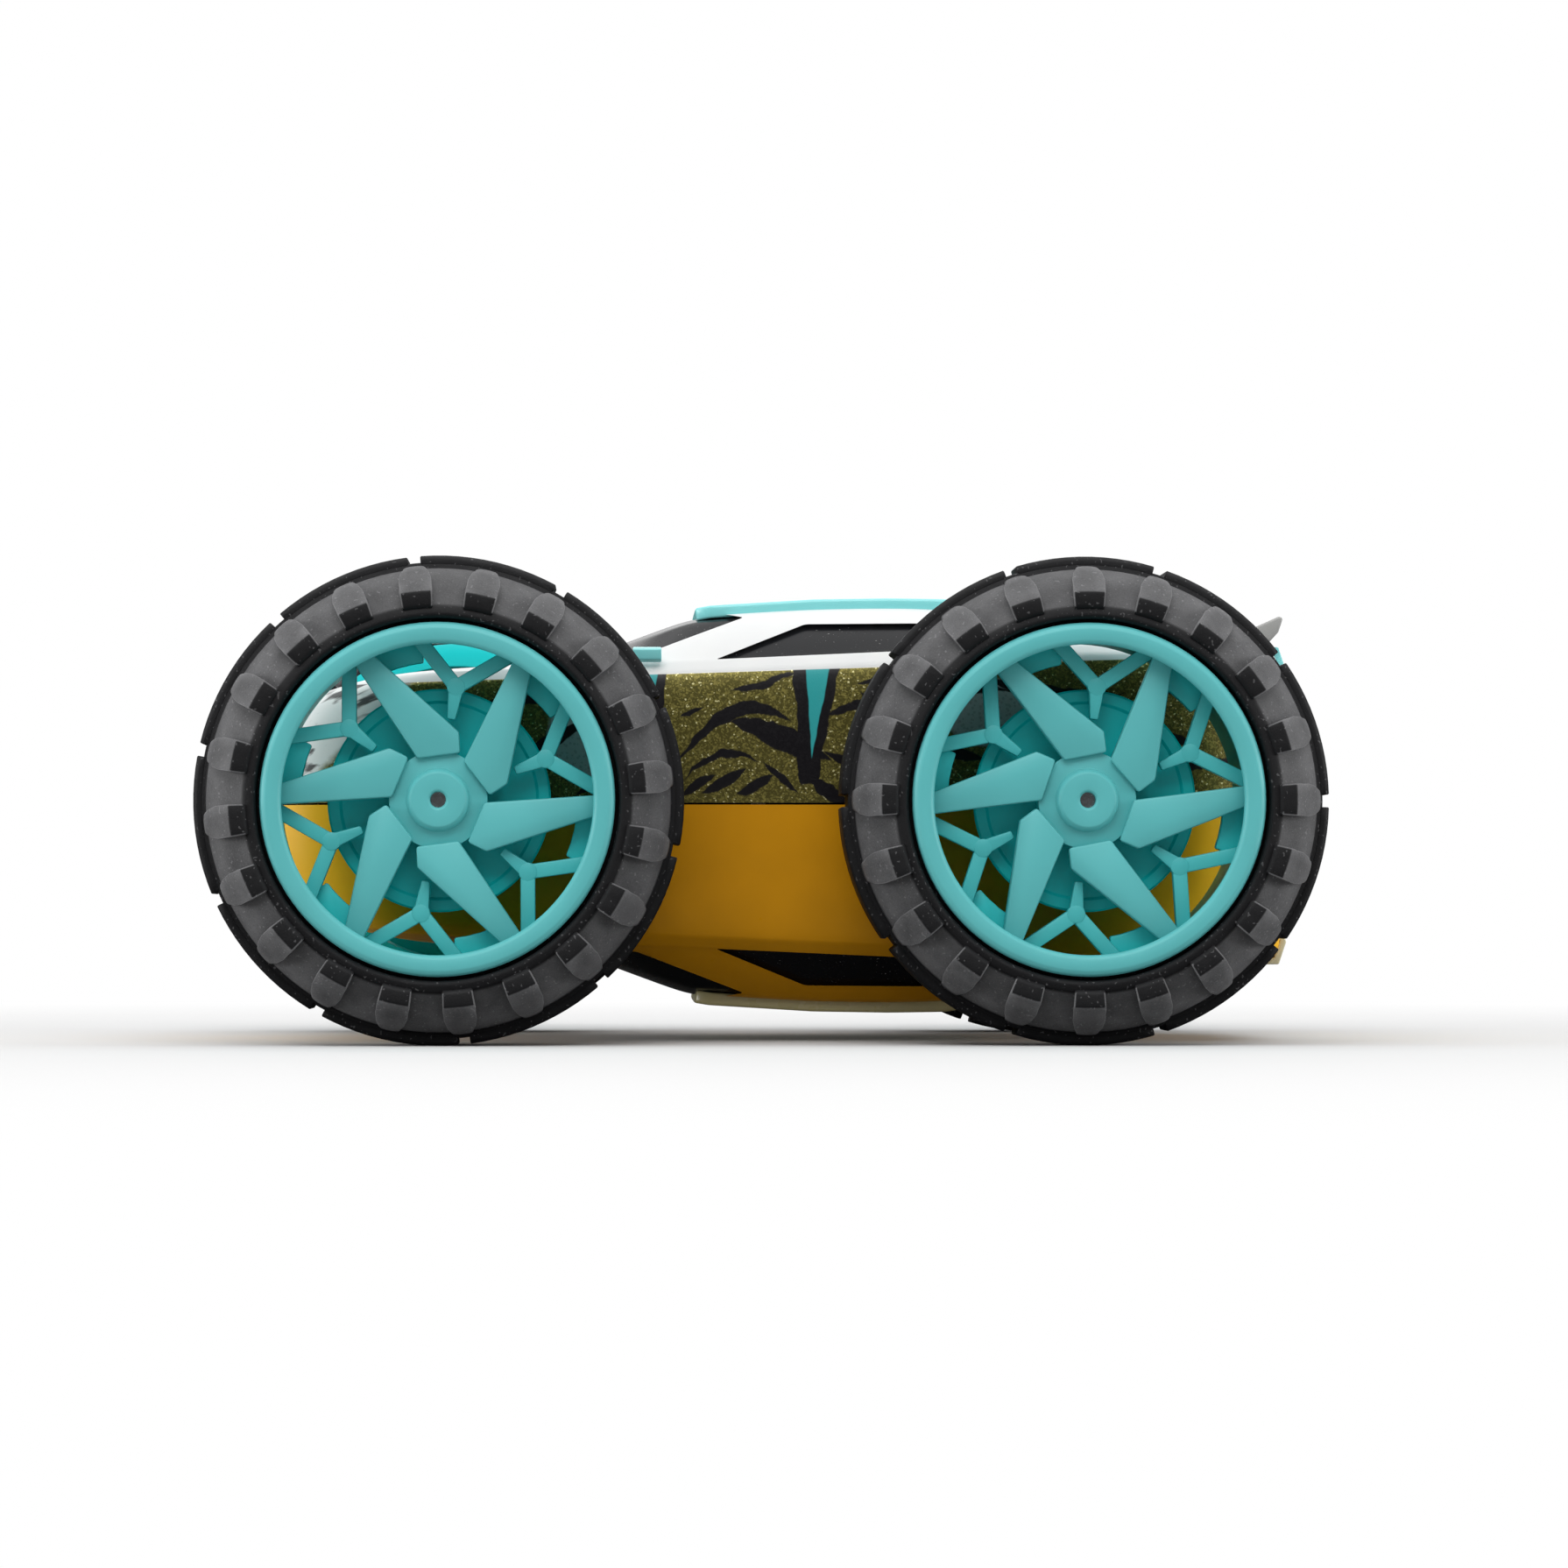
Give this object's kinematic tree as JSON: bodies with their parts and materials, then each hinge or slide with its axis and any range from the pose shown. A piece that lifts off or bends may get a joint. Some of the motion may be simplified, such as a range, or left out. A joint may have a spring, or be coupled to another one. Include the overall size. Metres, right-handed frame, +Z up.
{
  "type": "rc stunt car",
  "caption": "Small two-sided radio-control stunt car: a car shell above and below, and large wheels that stand proud of both roofs so it drives either way up.",
  "frame": {"origin": "on the ground plane, midway between the four wheels", "axes": "-X towards the nose, +X towards the tail, +Y towards the right-hand wheels, +Z up, with the teal-roofed car uppermost"},
  "size_m": [0.116, 0.096, 0.05],
  "materials": {
    "silver_white_shell": "glossy moulded shell, silver and white",
    "orange_shell": "glossy orange moulding",
    "teal_gloss": "glossy teal",
    "olive_gloss": "glossy yellow-olive",
    "cream_gloss": "glossy cream",
    "dark_glazing": "dark moulded windows",
    "clear_lens": "clear moulded lens",
    "grey_plastic": "satin grey",
    "black_plastic": "satin black",
    "frame_plastic": "moulded black frame",
    "teal_rim": "soft-sheen teal moulding",
    "tyre_rubber": "soft matte rubber",
    "white_gear": "acetal",
    "brass": "turned brass pinion on a steel shaft",
    "steel": "plain steel",
    "bronze": "sintered bronze",
    "motor_can": "zinc-plated can",
    "nickel": "nickel plate",
    "battery_wrap": "shrink film",
    "board": "solder-masked board",
    "lead_sleeve": "lead insulation"
  },
  "bodies": {
    "car_body": {"upper_shell": "silver_white_shell", "lower_shell": "orange_shell", "upper_roof_panel": "teal_gloss", "lower_roof_panel": "olive_gloss", "upper_glazing": "dark_glazing", "lower_glazing": "dark_glazing", "upper_headlamps": "clear_lens", "lower_headlamps": "clear_lens", "upper_tail_panel": "teal_gloss", "lower_tail_panel": "cream_gloss", "rear_spoiler": "grey_plastic", "mirror_left": "teal_gloss", "mirror_right": "teal_gloss", "front_bumper": "black_plastic", "rear_bumper": "black_plastic", "chassis_frame": "frame_plastic", "gearbox_plate_left": "frame_plastic", "gearbox_plate_right": "frame_plastic", "gearbox_cover_left": "frame_plastic", "gearbox_cover_right": "frame_plastic", "motor_left": "motor_can", "motor_right": "motor_can", "bush_front_left": "bronze", "bush_front_right": "bronze", "bush_rear_left": "bronze", "bush_rear_right": "bronze", "battery": "battery_wrap", "circuit_board": "board", "power_switch": "nickel", "charge_socket": "nickel", "shell_screws": "steel", "gear_pins": "steel", "wiring": "lead_sleeve"},
    "wheel_front_left": {"rim_front_left": "teal_rim", "tyre_front_left": "tyre_rubber", "axle_front_left": "steel", "wheel_gear_front_left": "white_gear"},
    "wheel_rear_left": {"rim_rear_left": "teal_rim", "tyre_rear_left": "tyre_rubber", "axle_rear_left": "steel", "wheel_gear_rear_left": "white_gear"},
    "idler_front_left": {"idler_gear_front_left": "white_gear"},
    "idler_rear_left": {"idler_gear_rear_left": "white_gear"},
    "centre_left": {"centre_gear_left": "white_gear"},
    "compound_left": {"compound_gear_left": "white_gear"},
    "motor_shaft_left": {"pinion_left": "brass"},
    "wheel_front_right": {"rim_front_right": "teal_rim", "tyre_front_right": "tyre_rubber", "axle_front_right": "steel", "wheel_gear_front_right": "white_gear"},
    "wheel_rear_right": {"rim_rear_right": "teal_rim", "tyre_rear_right": "tyre_rubber", "axle_rear_right": "steel", "wheel_gear_rear_right": "white_gear"},
    "idler_front_right": {"idler_gear_front_right": "white_gear"},
    "idler_rear_right": {"idler_gear_rear_right": "white_gear"},
    "centre_right": {"centre_gear_right": "white_gear"},
    "compound_right": {"compound_gear_right": "white_gear"},
    "motor_shaft_right": {"pinion_right": "brass"},
    "switch_knob": {"switch_slider": "black_plastic"}
  },
  "joints": [
    {"name": "wheel_front_left_spin", "type": "hinge", "parent": "car_body", "child": "wheel_front_left", "pos_m": [-0.033, -0.038, 0.025], "axis": [0, 1, 0], "continuous": true},
    {"name": "wheel_rear_left_spin", "type": "hinge", "parent": "car_body", "child": "wheel_rear_left", "pos_m": [0.033, -0.038, 0.025], "axis": [0, 1, 0], "continuous": true},
    {"name": "idler_front_left_spin", "type": "hinge", "parent": "car_body", "child": "idler_front_left", "pos_m": [-0.018, -0.01995, 0.025], "axis": [0, 1, 0], "continuous": true},
    {"name": "idler_rear_left_spin", "type": "hinge", "parent": "car_body", "child": "idler_rear_left", "pos_m": [0.018, -0.01995, 0.025], "axis": [0, 1, 0], "continuous": true},
    {"name": "centre_left_spin", "type": "hinge", "parent": "car_body", "child": "centre_left", "pos_m": [0, -0.01995, 0.025], "axis": [0, 1, 0], "continuous": true},
    {"name": "compound_left_spin", "type": "hinge", "parent": "car_body", "child": "compound_left", "pos_m": [0.00981, -0.0189, 0.03383], "axis": [0, 1, 0], "continuous": true},
    {"name": "motor_shaft_left_spin", "type": "hinge", "parent": "car_body", "child": "motor_shaft_left", "pos_m": [0.00021, -0.0178, 0.03383], "axis": [0, 1, 0], "continuous": true},
    {"name": "wheel_front_right_spin", "type": "hinge", "parent": "car_body", "child": "wheel_front_right", "pos_m": [-0.033, 0.038, 0.025], "axis": [0, 1, 0], "continuous": true},
    {"name": "wheel_rear_right_spin", "type": "hinge", "parent": "car_body", "child": "wheel_rear_right", "pos_m": [0.033, 0.038, 0.025], "axis": [0, 1, 0], "continuous": true},
    {"name": "idler_front_right_spin", "type": "hinge", "parent": "car_body", "child": "idler_front_right", "pos_m": [-0.018, 0.01995, 0.025], "axis": [0, 1, 0], "continuous": true},
    {"name": "idler_rear_right_spin", "type": "hinge", "parent": "car_body", "child": "idler_rear_right", "pos_m": [0.018, 0.01995, 0.025], "axis": [0, 1, 0], "continuous": true},
    {"name": "centre_right_spin", "type": "hinge", "parent": "car_body", "child": "centre_right", "pos_m": [0, 0.01995, 0.025], "axis": [0, 1, 0], "continuous": true},
    {"name": "compound_right_spin", "type": "hinge", "parent": "car_body", "child": "compound_right", "pos_m": [0.00981, 0.0189, 0.03383], "axis": [0, 1, 0], "continuous": true},
    {"name": "motor_shaft_right_spin", "type": "hinge", "parent": "car_body", "child": "motor_shaft_right", "pos_m": [0.00021, 0.0178, 0.03383], "axis": [0, 1, 0], "continuous": true},
    {"name": "power_switch_slide", "type": "slide", "parent": "car_body", "child": "switch_knob", "axis": [0, 1, 0], "range_m": [0, 0.0025]}
  ],
  "couplings": [
    {"joint": "wheel_front_left_spin", "follows": "wheel_rear_left_spin", "ratio": 1},
    {"joint": "idler_front_left_spin", "follows": "wheel_rear_left_spin", "ratio": -0.92308},
    {"joint": "idler_rear_left_spin", "follows": "wheel_rear_left_spin", "ratio": -0.92308},
    {"joint": "centre_left_spin", "follows": "wheel_rear_left_spin", "ratio": 0.70588},
    {"joint": "compound_left_spin", "follows": "wheel_rear_left_spin", "ratio": -2.4},
    {"joint": "motor_shaft_left_spin", "follows": "wheel_rear_left_spin", "ratio": 7.2},
    {"joint": "wheel_front_right_spin", "follows": "wheel_rear_right_spin", "ratio": 1},
    {"joint": "idler_front_right_spin", "follows": "wheel_rear_right_spin", "ratio": -0.92308},
    {"joint": "idler_rear_right_spin", "follows": "wheel_rear_right_spin", "ratio": -0.92308},
    {"joint": "centre_right_spin", "follows": "wheel_rear_right_spin", "ratio": 0.70588},
    {"joint": "compound_right_spin", "follows": "wheel_rear_right_spin", "ratio": -2.4},
    {"joint": "motor_shaft_right_spin", "follows": "wheel_rear_right_spin", "ratio": 7.2}
  ]
}
